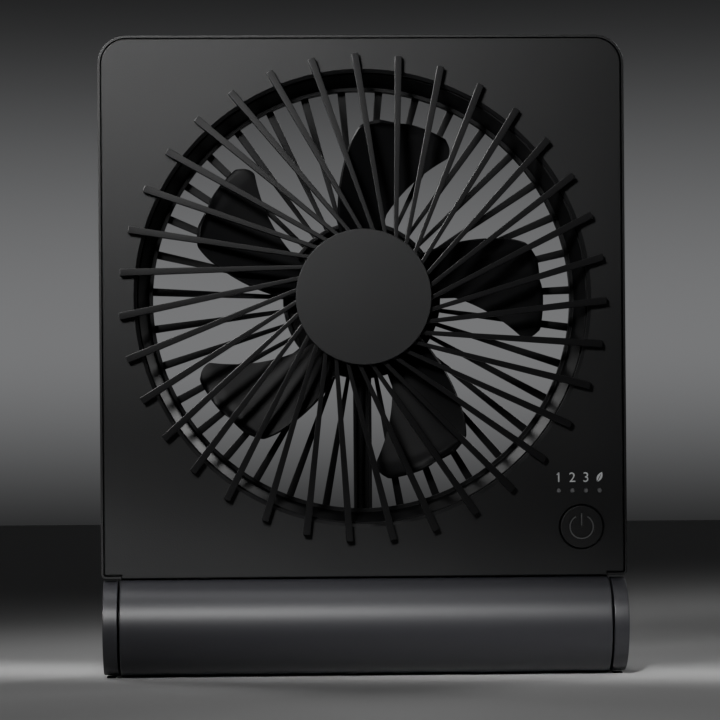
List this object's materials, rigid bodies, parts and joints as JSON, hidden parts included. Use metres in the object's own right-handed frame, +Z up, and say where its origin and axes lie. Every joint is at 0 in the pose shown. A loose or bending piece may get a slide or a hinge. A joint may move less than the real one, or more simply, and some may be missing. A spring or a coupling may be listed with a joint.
{
  "type": "desk fan",
  "caption": "Folding desk fan: a square black head with a round barred air opening, a round battery barrel along its foot, hinged at both ends to a flat stand.",
  "frame": {"origin": "on the table, below the middle of the whole fan with its stand", "axes": "+X right and +Z up, seen from the front; the fan blows towards -Y"},
  "size_m": [0.15, 0.1738, 0.1825],
  "materials": {
    "matte_black": "fine matt grain",
    "satin_black": "satin",
    "gloss_black": "semi gloss",
    "rubber_black": "matt rubber",
    "lamp_grey": "milky",
    "steel": "brushed",
    "bronze": "sintered",
    "copper": "enamelled wire",
    "circuit_board": "lacquered",
    "battery_wrap": "shrink wrap"
  },
  "bodies": {
    "stand": {"hinge_pin_right": "steel", "hinge_pin_left": "steel", "friction_washer_right": "gloss_black", "friction_washer_left": "gloss_black", "end_cover_right": "satin_black", "end_cover_left": "satin_black", "stand_plate": "satin_black", "rear_foot_right": "rubber_black", "rear_foot_left": "rubber_black", "front_foot_right": "rubber_black", "front_foot_left": "rubber_black"},
    "head": {"front_plate": "matte_black", "rear_shell": "matte_black", "duct_ring": "gloss_black", "front_grille": "satin_black", "hub_cap": "matte_black", "motor_lead": "gloss_black", "battery_lead": "gloss_black", "case_screw_1": "steel", "case_screw_2": "steel", "case_screw_3": "steel", "case_screw_4": "steel", "rear_grille": "gloss_black", "motor_board": "circuit_board", "stator_core": "steel", "stator_coil_1": "copper", "stator_coil_2": "copper", "stator_coil_3": "copper", "stator_coil_4": "copper", "stator_coil_5": "copper", "stator_coil_6": "copper", "bearing_sleeve": "bronze", "tact_switch": "gloss_black", "light_guide": "lamp_grey", "lamp_1": "lamp_grey", "lamp_2": "lamp_grey", "lamp_3": "lamp_grey", "lamp_4": "lamp_grey", "main_board": "circuit_board", "charging_port": "steel", "barrel_tube": "satin_black", "barrel_plug_right": "matte_black", "barrel_plug_left": "matte_black", "battery_cell_right": "battery_wrap", "battery_cell_left": "battery_wrap", "battery_contact_right": "steel", "battery_contact_left": "steel", "battery_cradle": "matte_black", "barrel_screw_right": "steel", "barrel_screw_left": "steel"},
    "fan": {"impeller": "gloss_black", "rotor_can": "steel", "magnet_ring": "steel", "motor_shaft": "steel"},
    "button": {"power_button": "matte_black"}
  },
  "joints": [
    {"name": "head_tilt", "type": "hinge", "parent": "stand", "child": "head", "pos_m": [0, -0.07305, 0.0141], "axis": [-1, 0, 0], "range_deg": [-10, 90]},
    {"name": "fan_spin", "type": "hinge", "parent": "head", "child": "fan", "pos_m": [0, -0.07305, 0.1076], "axis": [0, 1, 0], "continuous": true},
    {"name": "button_press", "type": "slide", "parent": "head", "child": "button", "axis": [0, 1, 0], "range_m": [0, 0.0008], "stiffness_N_per_m": 1500}
  ]
}
